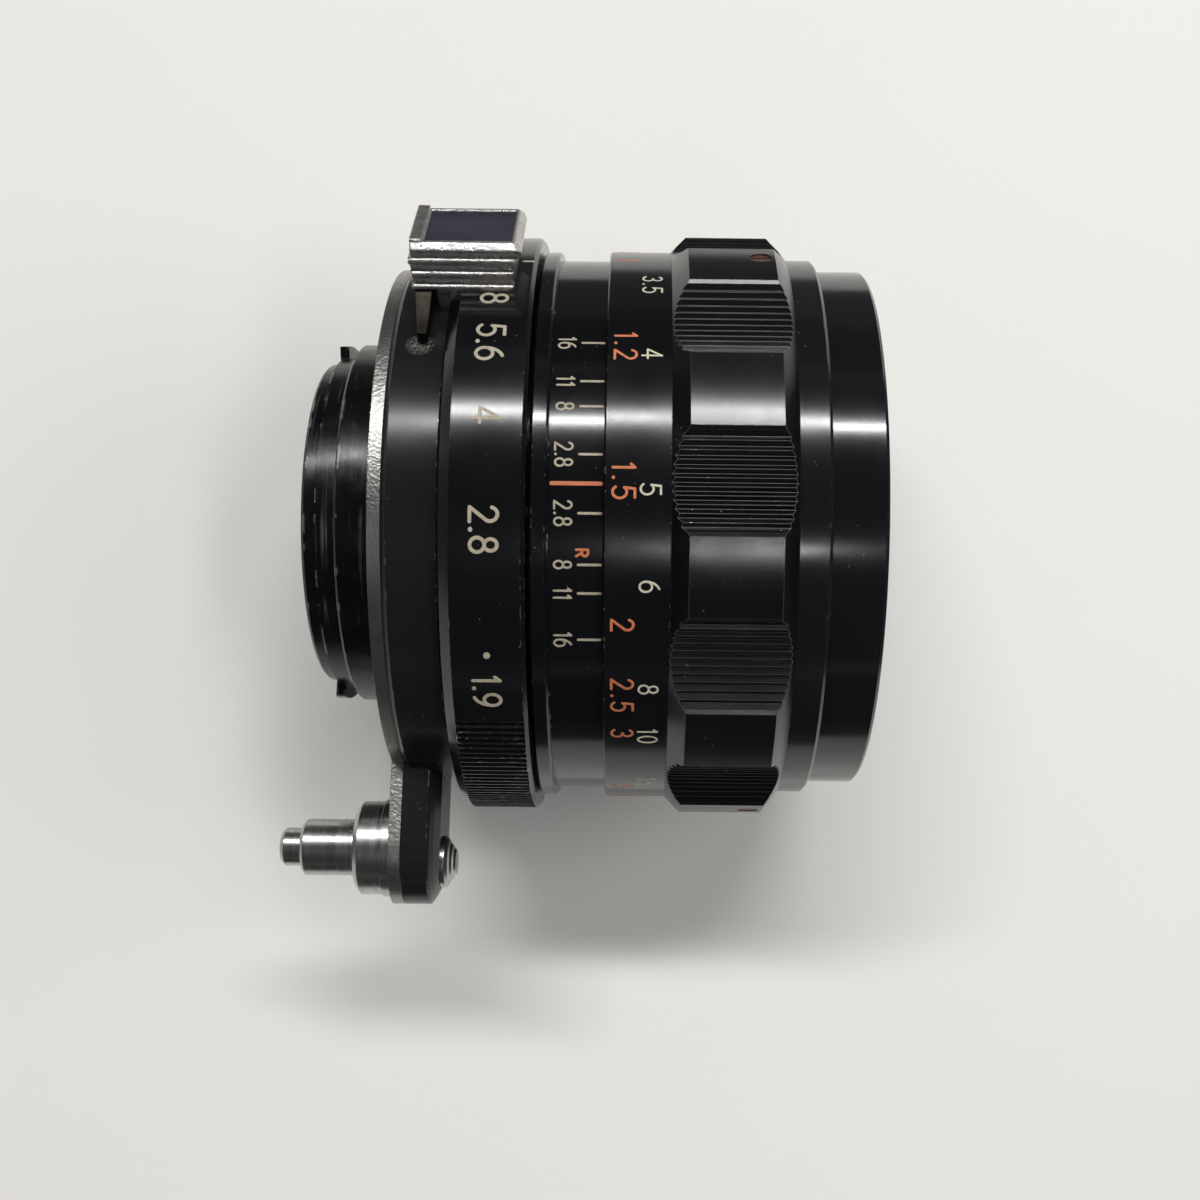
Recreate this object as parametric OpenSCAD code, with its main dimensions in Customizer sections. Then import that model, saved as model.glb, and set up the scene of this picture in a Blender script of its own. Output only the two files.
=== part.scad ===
// Taking lens with an external release arm, lying on its side. Millimetres.
// The optical axis is X, with the front of the lens at +X. X = 0 is the flange's seat.
// Angles round the axis start at +Z (up) and grow towards -Y, as a positive turn about +X does.

/* [Rear mount] */
// radius of the bayonet spigot
spigot_r = 18.9; // [18:0.1:20]
// length of the spigot behind the flange plate
spigot_len = 4.6; // [4:0.1:5.2]
// thickness of the chrome flange plate
plate_t = 1.2; // [1:0.05:1.4]

/* [Barrel] */
// wall of the main barrel
barrel_wall = 1.6; // [1.4:0.05:1.8]
// wall of the rear housing round the main barrel
housing_wall = 1; // [0.9:0.05:1.15]
// wall of the aperture ring
aperture_wall = 3.7; // [3.3:0.1:4.1]
// wall of the depth of field sleeve
sleeve_wall = 1.55; // [1.45:0.05:1.7]
// length of the aperture ring
aperture_len = 7.7; // [7:0.1:8.4]
// pitch of the aperture ring's knurl in degrees
knurl_pitch = 1.45; // [1.2:0.05:2]

/* [Focus ring] */
// wall of the grip under its smooth lands
grip_wall = 2.25; // [2:0.05:2.5]
// length of the grip
grip_len = 11.45; // [10.4:0.05:12.5]
// length of the distance ring that shows
distance_len = 6.05; // [5.5:0.05:6.6]
// scallops round the grip
scallop_count = 11; // [9:1:12]
// width of one scallop in degrees
scallop_width = 19; // [15:0.5:20]
// ridges in one scallop
ridge_count = 12; // [8:1:14]
// lead of the helicoid for one turn
lead = 8.3; // [7.5:0.1:9]

/* [Front] */
// length of the front ring that shows at rest
front_len = 5.2; // [4.8:0.1:6]
// wall of the front ring round its filter thread
filter_wall = 1.35; // [1.2:0.05:1.5]

/* [Release arm] */
// distance of the plunger from the rear housing
plunger_reach = 7.2; // [6.5:0.1:8]
// place of the arm round the axis in degrees
arm_angle = 77.3; // [70:0.1:84]
// travel of the plunger
plunger_travel = 1.8; // [1.4:0.1:1.8]

/* [Hidden] */
$fn = 96;

// clearances: a running fit, an air gap and a cut's overshoot
run = 0.05;
air = 0.15;
over = 0.5;

// turn that takes a tube's seam clear of the holes cut in it
seam_turn = 100;

// bayonet behind the flange, and the mount's own flange in front of the plate
rear_end_len = 1.46;
rear_ring_len = 2.1;
rear_step_x = -spigot_len - rear_ring_len;
rear_x = rear_step_x - rear_end_len;
rear_r = spigot_r - 2.1;
rear_ring_r = spigot_r - 1.4;
mount_bore = rear_r - 1.5;
shoulder_r = spigot_r + 0.4;
mount_flange_r = spigot_r + 3.5;
mount_flange_t = 1.2;
mount_flange_x = plate_t + mount_flange_t;
mount_screw_at = (shoulder_r + mount_flange_r) / 2 + air;
lug_r = spigot_r - 0.15;
lug_x0 = rear_step_x - 0.4;
lug_x1 = lug_x0 + 0.95;
lug_width = 46;
lug_angles = [-101, 101, 180];

// radii of the nested tubes, from the stop-down ring out
stop_r0 = mount_flange_r + 0.6;
stop_r1 = stop_r0 + 1.55;
barrel_bore = stop_r1 + run;
barrel_r = barrel_bore + barrel_wall;
housing_r = barrel_r + housing_wall;
aperture_bore = barrel_r + 2 * run;
aperture_r = aperture_bore + aperture_wall;
sleeve_r = barrel_r + sleeve_wall;
step_r = sleeve_r + 0.85;
distance_bore = sleeve_r + 2 * run;
distance_r = distance_bore + 0.85;
collar_bore = sleeve_r - 0.7;
collar_r = distance_r - 0.65;
grip_r = collar_r + grip_wall;
front_r = collar_bore - 2 * run;
filter_r = front_r - filter_wall;
skirt_bore = filter_r - 0.6;

// radii of the nested tubes, from the main barrel in
nut_bore = barrel_bore - run - 1.65;
helicoid_r = nut_bore - run;
helicoid_bore = helicoid_r - 1.85;
cam_bore = barrel_bore - 1.3;

// stations along the axis, from the flange forwards
barrel_x0 = plate_t + 2.8;
housing_x = plate_t + 5.4;
aperture_x0 = housing_x + air;
aperture_x1 = aperture_x0 + aperture_len;
step_x0 = aperture_x1 + air;
sleeve_x0 = step_x0 + 1.7;
distance_x0 = sleeve_x0 + 5;
grip_x0 = distance_x0 + distance_len;
grip_x1 = grip_x0 + grip_len;
sleeve_x1 = grip_x0 - 1.75;
barrel_x1 = sleeve_x1 + 0.4;
collar_x0 = grip_x0 + 4.65;
collar_x1 = grip_x1 + 3;
front_x1 = collar_x1 + front_len;

// the focus ring turns from infinity to the near limit, and the front slides with it
focus_far = -100;
focus_near = 168;
slide_back = -focus_far / 360 * lead;
slide_out = focus_near / 360 * lead;

// flange plate and screws
plate_r = housing_r - 0.55;
screw_count = 4;
plate_screw_at = barrel_bore + 0.75;
plate_screw_turn = 20;
head_r = 1.15;
shank_r = 0.6;
screw_len = 3;
slot_w = 0.35;
slot_depth = 0.4;

// release arm
plunger_out = housing_r + plunger_reach;
arm_half = 5.6;
arm_side_x = plate_t + 2.6;
arm_face_x = arm_side_x + 1.1;
arm_bevel = 2;
bevel_steps = 4;
bevel_power = 1.7;
arm_floor_x = arm_side_x + 0.15;
disc_t = 0.8;
disc_x1 = arm_floor_x - 0.1;
disc_x0 = disc_x1 - disc_t;
disc_r = 3.9;
arm_pocket_r = disc_r + 0.3;
finger_half = 1.5;
button_shift = 1.35;
button_r = 2.6;
button_base_x = arm_face_x + 0.3;
button_top_x = arm_face_x + 1.4;
button_rings = 3;
guide_bore = 4;
guide_r = guide_bore + 0.5;
bush_r = guide_r + 0.4;
bush_x = -1;
guide_collar_r = guide_r + 0.2;
guide_collar_len = 2.8;
collar_back_x = bush_x - guide_collar_len;
guide_x0 = collar_back_x - 5.6;
pin_r = 1.92;
pin_x0 = guide_x0 - 2.2;
guide_sleeve_r = pin_r + 0.93;
spring_seat_x = collar_back_x + 0.8;
spring_r = guide_bore - 0.7;
spring_wire = 0.6;

// stop-down ring: the plunger's drive pin runs in its slanted slot
stop_turn = 10;
stop_x0 = plate_t + 0.1;
tongue_x0 = mount_flange_x + slide_back + 0.6;
stop_x1 = tongue_x0 + slide_out + 1.2;
stop_web_x = stop_x1 - 1.4;
drive_pin_r = disc_t / 2;
drive_x = (disc_x0 + disc_x1) / 2;
drive_in = stop_r0 - 0.2;
slot_half = drive_pin_r + air;

// preset cam and its pins in the barrel's slots
cam_x0 = stop_x1 + 0.62;
cam_x1 = cam_x0 + 2.6;
cam_pin_x = (cam_x0 + cam_x1) / 2;
cam_pin_r = 0.8;
cam_pin_at = [10, 190];
cam_pin_r1 = aperture_r - 1.6;
aperture_wide = -30.7;
aperture_small = 52;

// guide keys, focus nut and helicoid
key_half = 2;
key_r0 = helicoid_bore + 0.3;
key_r1 = nut_bore - 0.3;
key_foot_x0 = cam_x1 + 0.55;
key_foot_x1 = key_foot_x0 + 1.55;
key_screw_x = (key_foot_x0 + key_foot_x1) / 2;
key_x1 = key_foot_x1 + 8.3;
key_angles = [0, 180];
key_slot_x1 = key_x1 + slide_back + 1;
nut_x0 = key_foot_x1 + 0.3;
nut_flange_x0 = barrel_x1 + 3;
nut_x1 = nut_flange_x0 + 4;
helicoid_x0 = key_foot_x0 + 0.45;
skirt_x0 = nut_x1 + slide_back + 1.35;
helicoid_x1 = skirt_x0 + run;
web_x0 = helicoid_x1 + 1.4;
web_x1 = web_x0 + 1.3;
thread_x0 = web_x1 + 3;

// iris
blade_count = 6;
blade_t = 0.15;
blade_step = 0.3;
iris_plate_x0 = helicoid_x0 + 1.4;
iris_plate_x1 = iris_plate_x0 + 0.6;
blade_x0 = iris_plate_x1 + 0.2;
iris_ring_x0 = blade_x0 + blade_count * blade_step + 0.1;
iris_ring_x1 = iris_ring_x0 + 0.8;
iris_r = helicoid_bore - 0.1;
iris_ring_r = iris_r - 0.4;
pivot_at = iris_r - 2.5;
tail_at = iris_r - 2.3;
blade_r1 = iris_r - 3.4;
blade_r0 = blade_r1 - 5;
iris_open_r = blade_r0 - 0.3;
blade_arc = 122;
blade_eye_r = 1.5;
tail_eye_r = 1;
iris_pin_r = 0.5;
tail_angle = -9.5;
blade_turn = 21;

// tongue of the iris ring, in the notch of the stop-down ring
tongue_half = 1.5;
tongue_r1 = iris_ring_r - 0.1;
tongue_r0 = tongue_r1 - 1.4;
tongue_at = 150;
tongue_sweep = 14;
stop_web_r = tongue_r0 - 0.6;

// front cell and its glass
cell_r = helicoid_bore - run;
seat_gap = 0.05;
glass_fn = 300;
glass_rim = 1.6;
front_glass_t = 6;
second_glass_t = 5.8;
third_glass_t = 5.8;
front_cell_x0 = iris_ring_x1 + 0.5;
third_seat_x = front_cell_x0 + 0.2;
cement_x = third_seat_x + third_glass_t;
second_vertex_x = cement_x + second_glass_t;
front_seat_x = second_vertex_x + 0.5;
front_vertex_x = front_seat_x + front_glass_t;
front_cell_x1 = front_vertex_x + 0.1;
front_glass_r = helicoid_bore - 3.8;
second_glass_r = front_glass_r - 2.2;
third_glass_r = second_glass_r - 1.4;
cell_stop_r = third_glass_r - 2;
front_curve = 2.1 * front_glass_r;
second_curve = 1.75 * second_glass_r;
third_curve = 1.29 * third_glass_r;
retainer_len = 1.6;
retainer_wall = 0.5;
spacer_wall = 0.6;
front_retainer_x = front_vertex_x - sag(front_curve, front_glass_r - retainer_wall) + 2 * air;
spacer_x0 = second_vertex_x - sag(second_curve, second_glass_r - spacer_wall) + air;
spacer_x1 = front_seat_x - 2 * run;

// rear cell and its glass
rear_cell_r = mount_bore - 0.7;
rear_cell_wide_r = rear_cell_r + 1.6;
rear_cell_wide_x = helicoid_x0 - 6;
rear_glass_r = rear_cell_r - 2;
fifth_glass_r = rear_glass_r - 0.4;
rear_stop_r = fifth_glass_r - 0.6;
fourth_glass_t = 5.3;
fifth_glass_t = 5.6;
rear_glass_t = 6.8;
fourth_rim_x = iris_plate_x0 - 0.1;
rear_cement_x = fourth_rim_x - fourth_glass_t;
fifth_seat_x = rear_cement_x - fifth_glass_t;
fifth_vertex_x = fifth_seat_x - 0.4;
rear_seat_x = fifth_seat_x - 1.9;
rear_vertex_x1 = rear_seat_x + 0.9;
rear_vertex_x0 = rear_vertex_x1 - rear_glass_t;
rear_cell_x0 = rear_vertex_x0 - 1.4;
fourth_curve = 1.35 * rear_glass_r;
fifth_curve = 1.8 * fifth_glass_r;
rear_curve = 3 * rear_glass_r;
rear_front_curve = 5.6 * rear_glass_r;
rear_rim_x = rear_vertex_x0 + sag(rear_curve, rear_glass_r - retainer_wall);
rear_retainer_x = rear_rim_x - air - retainer_len;

// stepped bezel in front of the glass
bezel_steps = 7;
bezel_r0 = front_glass_r + 0.3;
bezel_low_x = front_cell_x1 + 0.2;
bezel_high_x = thread_x0 - 0.2;
bezel_lip = 0.4;
bezel_rim = 0.8;

// aperture ring
rear_slope = 1;
front_slope = 0.35;
knurl_sectors = [[40, 150], [-160, -90]];
detent_depth = 0.15;
detent_angles = [25.7, 3.6, -16.1, -30.7, -41.5, -50, -57];
index_angle = -5;

// finger block and coupling finger
block_angle = -51.5;
block_half = 4.25;
block_foot = aperture_r - 0.15;
block_top = aperture_r + 4.3;
block_x0 = aperture_x0 - 3.55;
block_x1 = aperture_x1 - 1.05;
block_lip = 0.3;
block_setback = 0.75;
block_brow = 0.9;
block_nose = 0.3;
block_chin = 0.5;
groove_depth = 0.5;
groove_floor = 0.35;
groove_count = 3;
groove_pitch = (block_top - block_foot - groove_depth - run) / groove_count;
inlay_x0 = block_x0 + 1.3;
inlay_x1 = block_x1 - 0.8;
inlay_half = block_half - 0.9;
inlay_depth = 0.55;
inlay_sunk = 0.08;
finger_r0 = housing_r + 0.3;
finger_t = 1.3;
finger_x0 = block_x0 + 0.2;
finger_x1 = finger_x0 + 1.55;
finger_tip_x0 = finger_x0 + 0.6;
finger_tip_x1 = finger_tip_x0 + 0.75;
finger_reach = 17;
finger_steps = 6;

// click ball in the depth of field ring, and the spring behind it
click_angle = 180;
click_r = 0.45;
click_at = barrel_r + 0.8;
click_x0 = step_x0 - air + 0.03;
click_x1 = step_x0 + 3.6;
click_wire = 0.12;

// focus grip
scallop_depth = 1.3;
ridge_depth = 0.32;
ridge_proud = 0.03;
scallop_first = -5.1;
land_edge = scallop_width / 2;
grip_chamfer_r = distance_r;
grip_front_r = collar_r + 0.35;
screw_x = grip_x1 - 2.9;
grip_screw_lands = [-2, 2, 5];
grip_screw_shift = -2.2;
grip_screw_r = 1;
grip_screw_sunk = 0.1;
grip_slot_depth = 0.6;

// Helpers

// a turned piece from its outline of [radius, x] points
module turned(outline) {
    rotate([0, 90, 0])
        rotate_extrude()
            polygon(outline);
}

// a plain tube about the optical axis
module tube(r1, r0, x0, x1) {
    difference() {
        rod(r1, x0, x1);
        rod(r0, x0 - over, x1 + over);
    }
}

// a round bar along X, at y and z
module rod(r, x0, x1, y = 0, z = 0) {
    translate([x0, y, z])
        rotate([0, 90, 0])
            cylinder(h = x1 - x0, r = r);
}

// a flat outline in Y and Z, given its thickness along X
module flat(x0, x1) {
    translate([x0, 0, 0])
        rotate([90, 0, 90])
            linear_extrude(x1 - x0)
                children();
}

// turn a piece made at the top round to an angle
module at(angle) {
    rotate([angle, 0, 0])
        children();
}

// a box at the top, from radius r0 to r1
module bar(x0, x1, half, r0, r1) {
    translate([x0, -half, r0])
        cube([x1 - x0, 2 * half, r1 - r0]);
}

// a round pin at the top, pointing outwards
module radial_pin(r, x, r0, r1) {
    translate([x, 0, r0])
        cylinder(h = r1 - r0, r = r, $fn = 32);
}

// a wedge of the disc about the axis, centred at the top
module wedge(x0, x1, width, reach = 40) {
    flat(x0, x1)
        polygon([
            [0, 0],
            [-reach * tan(width / 2), reach],
            [reach * tan(width / 2), reach]
        ]);
}

// how far a spherical face falls back from its vertex at a radius
function sag(curve, radius) = curve - sqrt(curve * curve - radius * radius);

// one tooth edge of a knurl: ridge tops and groove floors in turn
function knurl_point(radius, angle) = [-radius * sin(angle), radius * cos(angle)];

// a list from its end to its start
function reversed(list) = [for (i = [len(list) - 1 : -1 : 0]) list[i]];

// countersunk screw pointing along +X, its head flush with x
module countersunk(x, r_at, length) {
    difference() {
        translate([x, 0, r_at])
            rotate([0, 90, 0])
                union() {
                    cylinder(h = head_r - shank_r, r1 = head_r, r2 = shank_r);
                    cylinder(h = length, r = shank_r);
                }
        translate([x, -slot_w / 2, r_at - head_r - over])
            cube([slot_depth, slot_w, 2 * head_r + 2 * over]);
    }
}

// the hole that the countersunk screw sits in
module countersink(x, r_at, length) {
    translate([x, 0, r_at])
        rotate([0, 90, 0])
            union() {
                translate([0, 0, -over])
                    cylinder(h = over + 0.01, r = head_r + run);
                cylinder(h = head_r - shank_r, r1 = head_r + run, r2 = shank_r + run);
                cylinder(h = length + over, r = shank_r + run);
            }
}

// a turn for each of a ring of screws
module ring_of(count, first) {
    for (i = [0 : count - 1])
        at(first + i * 360 / count)
            children();
}

// a glass element: rear vertex or rim x0, front vertex or rim x1; a negative curve is hollow
module glass(x0, x1, r, rear_curve, front_curve) {
    difference() {
        intersection() {
            rod(r, x0, x1);
            if (rear_curve > 0)
                translate([x0 + rear_curve, 0, 0])
                    sphere(rear_curve, $fn = glass_fn);
            if (front_curve > 0)
                translate([x1 - front_curve, 0, 0])
                    sphere(front_curve, $fn = glass_fn);
        }
        if (rear_curve < 0)
            hollow_face(x0, -1, rear_curve, r);
        if (front_curve < 0)
            hollow_face(x1, 1, front_curve, r);
    }
}

// the ball that cuts a hollow face with a flat rim round it
module hollow_face(x, side, curve, r) {
    rim = r - glass_rim;
    offset_x = sqrt(curve * curve - rim * rim);
    translate([x + side * offset_x, 0, 0])
        sphere(-curve, $fn = glass_fn);
}

// Fixed pieces

module bayonet_mount() {
    color("DimGray")
        difference() {
            union() {
                turned([
                    [mount_bore, rear_x + 0.4],
                    [mount_bore + 0.4, rear_x],
                    [rear_r - 0.3, rear_x],
                    [rear_r, rear_x + 0.3],
                    [rear_r, rear_step_x],
                    [rear_ring_r, rear_step_x],
                    [rear_ring_r, -spigot_len],
                    [spigot_r - 0.25, -spigot_len],
                    [spigot_r, -spigot_len + 0.25],
                    [spigot_r, 0],
                    [shoulder_r, 0],
                    [shoulder_r, plate_t],
                    [mount_flange_r, plate_t],
                    [mount_flange_r, mount_flange_x],
                    [mount_bore, mount_flange_x]
                ]);
                for (angle = lug_angles)
                    at(angle)
                        intersection() {
                            tube(lug_r, rear_r - over, lug_x0, lug_x1);
                            wedge(lug_x0 - over, lug_x1 + over, lug_width);
                        }
            }
            ring_of(screw_count, 45)
                countersink(0, mount_screw_at, screw_len);
        }
}

// the arm's outline, from inside the plate out to the plunger
module arm_outline(half) {
    rotate(90 + arm_angle) {
        translate([mount_flange_r, -half])
            square([plunger_out - mount_flange_r, 2 * half]);
        translate([plunger_out, 0])
            circle(half);
    }
}

module flange_plate() {
    color("Silver")
        difference() {
            flat(0, plate_t)
                union() {
                    circle(plate_r);
                    arm_outline(arm_half);
                }
            rod(shoulder_r + run, -over, plate_t + over);
            at_plunger()
                rod(bush_r + run, -over, plate_t + over);
            ring_of(screw_count, 45)
                countersink(0, mount_screw_at, screw_len);
            ring_of(screw_count, plate_screw_turn)
                countersink(0, plate_screw_at, screw_len);
        }
}

// move a piece made on the optical axis onto the plunger's axis
module at_plunger(shift = 0) {
    at(arm_angle)
        translate([0, 0, plunger_out + shift])
            children();
}

module mount_screws() {
    color("Gray")
        ring_of(screw_count, 45)
            countersunk(0, mount_screw_at, mount_flange_x - 2 * run);
}

module plate_screws() {
    color("Gray")
        ring_of(screw_count, plate_screw_turn)
            countersunk(0, plate_screw_at, screw_len);
}

module rear_housing() {
    color("Black")
        difference() {
            union() {
                turned([
                    [barrel_bore, plate_t],
                    [housing_r - 0.55, plate_t],
                    [housing_r, plate_t + 0.55],
                    [housing_r, housing_x - 0.3],
                    [housing_r - 0.3, housing_x],
                    [barrel_r + run, housing_x],
                    [barrel_r + run, barrel_x0],
                    [barrel_bore, barrel_x0]
                ]);
                difference() {
                    arm_casting();
                    rod(housing_r - over, 0, arm_face_x + over);
                }
            }
            arm_pocket();
            ring_of(screw_count, plate_screw_turn)
                countersink(0, plate_screw_at, screw_len);
        }
}

// half of the arm's section: [half width, x], with an eased front edge
function arm_section() = concat(
    [[0, plate_t], [arm_half, plate_t]],
    [
        for (i = [0 : bevel_steps])
            let (angle = 90 * i / bevel_steps)
                [
                    arm_half - arm_bevel * (1 - pow(cos(angle), bevel_power)),
                    arm_side_x + (arm_face_x - arm_side_x) * pow(sin(angle), bevel_power)
                ]
    ],
    [[0, arm_face_x]]
);

// the straight arm and its round end about the plunger
module arm_casting() {
    right = [for (p = arm_section()) [p[1], p[0]]];
    left = [for (p = arm_section()) [p[1], -p[0]]];
    at(arm_angle)
        translate([0, 0, mount_flange_r])
            linear_extrude(plunger_out - mount_flange_r)
                polygon(concat(right, reversed(left)));
    at_plunger()
        turned(arm_section());
}

module arm_pocket() {
    at_plunger()
        rod(arm_pocket_r, plate_t - over, arm_floor_x);
    at_plunger(button_shift)
        rod(button_r + run, arm_floor_x - over, arm_face_x + over);
    at(arm_angle)
        bar(plate_t - over, arm_floor_x, finger_half + 0.3, stop_r0, plunger_out);
}

module click_pocket() {
    at(click_angle)
        translate([0, 0, click_at])
            rod(click_r + run, step_x0 - over, click_x1);
}

module main_barrel() {
    color("Goldenrod")
        difference() {
            at(seam_turn)
                tube(barrel_r, barrel_bore, barrel_x0, barrel_x1);
            for (angle = cam_pin_at)
                cam_slot(angle);
            for (angle = key_angles)
                at(angle)
                    radial_pin(shank_r + run, key_screw_x, barrel_bore - over, barrel_r + over);
        }
}

// the long slot in which a cam pin swings, square at its ends
module cam_slot(angle) {
    half = cam_pin_r + air;
    end = 2 * asin(half / barrel_bore);
    width = aperture_small - aperture_wide + 2 * end;
    at(angle + (aperture_small + aperture_wide) / 2)
        difference() {
            wedge(cam_pin_x - half, cam_pin_x + half, width);
            rod(barrel_bore - over, cam_x0 - over, cam_x1 + over);
        }
}

module depth_ring() {
    color("Black")
        difference() {
            turned([
                [barrel_r, step_x0],
                [step_r - 0.3, step_x0],
                [step_r, step_x0 + 0.3],
                [step_r, sleeve_x0 - 0.2],
                [step_r - 0.2, sleeve_x0],
                [sleeve_r, sleeve_x0],
                [sleeve_r, sleeve_x1],
                [barrel_r, sleeve_x1]
            ]);
            click_pocket();
        }
}

module guide_keys() {
    color("Goldenrod")
        for (angle = key_angles)
            at(angle)
                difference() {
                    intersection() {
                        union() {
                            bar(key_foot_x0, key_x1, key_half, key_r0, key_r1);
                            bar(key_foot_x0, key_foot_x1, key_half, key_r0, barrel_bore + over);
                        }
                        rod(barrel_bore, key_foot_x0, key_x1);
                    }
                    radial_pin(shank_r + run, key_screw_x, key_r0 - over, barrel_r);
                }
}

module key_screws() {
    color("Gray")
        for (angle = key_angles)
            at(angle)
                intersection() {
                    radial_pin(shank_r, key_screw_x, key_r0 + 0.2, barrel_r + over);
                    rod(barrel_r, key_foot_x0, key_foot_x1);
                }
}

module plunger_guide() {
    color("Silver")
        at_plunger()
            turned([
                [pin_r + run, guide_x0],
                [guide_sleeve_r - 0.35, guide_x0],
                [guide_sleeve_r, guide_x0 + 0.35],
                [guide_sleeve_r, collar_back_x],
                [guide_collar_r - 0.6, collar_back_x],
                [guide_collar_r, collar_back_x + 0.5],
                [guide_collar_r, bush_x],
                [guide_r, bush_x],
                [guide_r, plate_t],
                [guide_bore, plate_t],
                [guide_bore, spring_seat_x],
                [pin_r + run, spring_seat_x]
            ]);
}

module guide_bush() {
    color("Silver")
        at_plunger()
            tube(bush_r, guide_r, bush_x, plate_t);
}

module click_ball() {
    color("Silver")
        at(click_angle)
            translate([click_x0 + click_r, 0, click_at])
                sphere(click_r, $fn = 24);
}

module click_spring() {
    color("Gray")
        at(click_angle)
            translate([0, 0, click_at])
                tube(click_r, click_r - click_wire, click_x0 + 2 * click_r + run, click_x1);
}

// Aperture ring and what turns with it

// outline that leaves the ring whole except where its knurl is cut
function knurl_ring(first, last, radius) = [
    for (angle = [first : knurl_pitch : last])
        each [
            knurl_point(radius + ridge_proud, angle),
            knurl_point(radius - ridge_depth, angle + knurl_pitch * 0.3),
            knurl_point(radius - ridge_depth, angle + knurl_pitch * 0.6),
            knurl_point(radius + ridge_proud, angle + knurl_pitch * 0.9)
        ]
];

// one sector of the aperture ring's knurl, as the waste that is cut away
module knurl_waste(first, last) {
    back_steps = 12;
    end = last + knurl_pitch;
    back = [
        for (i = [0 : back_steps])
            knurl_point(aperture_r + 1, end + (first - end) * i / back_steps)
    ];
    flat(aperture_x0 + rear_slope, aperture_x1 - front_slope)
        polygon(concat(knurl_ring(first, last, aperture_r), back));
}

module aperture_ring() {
    color("Black")
        difference() {
            turned([
                [aperture_bore, aperture_x0],
                [aperture_r - rear_slope, aperture_x0],
                [aperture_r, aperture_x0 + rear_slope],
                [aperture_r, aperture_x1 - front_slope],
                [aperture_r - front_slope, aperture_x1],
                [aperture_bore, aperture_x1]
            ]);
            for (sector = knurl_sectors)
                knurl_waste(sector[0], sector[1]);
            for (angle = cam_pin_at)
                at(angle)
                    radial_pin(cam_pin_r + run, cam_pin_x, aperture_bore - over, cam_pin_r1 + 2 * run);
            for (angle = detent_angles)
                at(click_angle + angle - index_angle)
                    translate([aperture_x1 + click_r - detent_depth, 0, click_at])
                        sphere(click_r, $fn = 24);
        }
}

// one side of the block's section across the lens: grooves for the finger, eased outer corner
function block_side(side) = concat(
    [[side * block_half, housing_r]],
    [
        for (i = [0 : groove_count - 1])
            let (low = block_foot + groove_floor + groove_pitch * i, deep = block_half - groove_depth)
                each [
                    [side * block_half, low],
                    [side * deep, low + groove_depth / 2],
                    [side * deep, low + groove_depth / 2 + groove_floor],
                    [side * block_half, low + groove_depth + groove_floor]
                ]
    ],
    [
        [side * block_half, block_top - groove_depth],
        [side * (block_half - groove_depth), block_top],
        [side * (block_half - groove_depth), block_top + block_lip]
    ]
);

// the block's outline along the lens, [x, radius]: a raised lip behind, a slope in front
block_outline = [
    [block_x0, block_foot],
    [block_x0, block_foot + 1.6],
    [block_x0 - 0.2, block_top - 2],
    [block_x0 - 0.2, block_top - 1.4],
    [block_x0, block_top - 1],
    [block_x0, block_top + block_lip],
    [inlay_x0 - 0.2, block_top + block_lip],
    [inlay_x0 - 0.2, block_top],
    [inlay_x1 + 0.1, block_top],
    [block_x1, block_top - block_brow],
    [block_x1, block_top - block_brow - block_nose],
    [block_x1 - block_setback, block_top - block_brow - block_nose - block_chin],
    [block_x1 - block_setback, housing_r],
    [aperture_x0, housing_r],
    [aperture_x0, block_foot]
];

module finger_block() {
    color("Silver")
        at(block_angle)
            difference() {
                intersection() {
                    flat(block_x0 - over, block_x1 + over)
                        polygon(concat(block_side(1), reversed(block_side(-1))));
                    translate([0, block_half + over, 0])
                        rotate([90, 0, 0])
                            linear_extrude(2 * block_half + 2 * over)
                                polygon(block_outline);
                }
                rod(aperture_r, aperture_x0 + rear_slope, block_x1 + over);
                rear_slope_cone();
                bar(inlay_x0, inlay_x1, inlay_half, block_top - inlay_depth, block_top + 1);
            }
}

// the room that the ring's sloped rear edge takes up
module rear_slope_cone() {
    translate([aperture_x0, 0, 0])
        rotate([0, 90, 0])
            cylinder(h = rear_slope, r1 = aperture_r - rear_slope, r2 = aperture_r);
}

module block_inlay() {
    color("MidnightBlue")
        at(block_angle)
            bar(inlay_x0, inlay_x1, inlay_half, block_top - inlay_depth, block_top - inlay_sunk);
}

// outside radius of the finger: from the block's foot at start_r it bends down over the housing
function finger_outside(start_r, part) =
    finger_r0 + finger_t + (start_r - finger_r0 - finger_t) * pow(1 - part, 2);

// a tapered finger that hangs from the block and lies over the rear housing
module coupling_finger() {
    reach = (finger_r0 + finger_t) * sin(finger_reach);
    root = [block_half - groove_depth, block_foot];
    edge = atan2(root[0], root[1]);
    outside = [
        for (i = [0 : finger_steps])
            let (part = i / finger_steps)
                knurl_point(finger_outside(norm(root), part), edge + (finger_reach - edge) * part)
    ];
    inside = [
        for (i = [0 : finger_steps])
            knurl_point(finger_r0, finger_reach * (1 - i / finger_steps))
    ];
    color("Silver")
        at(block_angle)
            intersection() {
                flat(finger_x0 - over, finger_x1 + over)
                    polygon(concat([[0, block_foot]], outside, inside));
                linear_extrude(block_top)
                    polygon([
                        [finger_x0, over],
                        [finger_x0, -block_half],
                        [finger_tip_x0, -reach - over],
                        [finger_tip_x1, -reach - over],
                        [finger_x1, -block_half],
                        [finger_x1, over]
                    ]);
            }
}

module preset_cam() {
    color("Goldenrod")
        difference() {
            tube(barrel_bore - run, cam_bore, cam_x0, cam_x1);
            for (angle = cam_pin_at)
                at(angle)
                    radial_pin(cam_pin_r + run, cam_pin_x, cam_bore - over, barrel_bore + over);
        }
}

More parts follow.
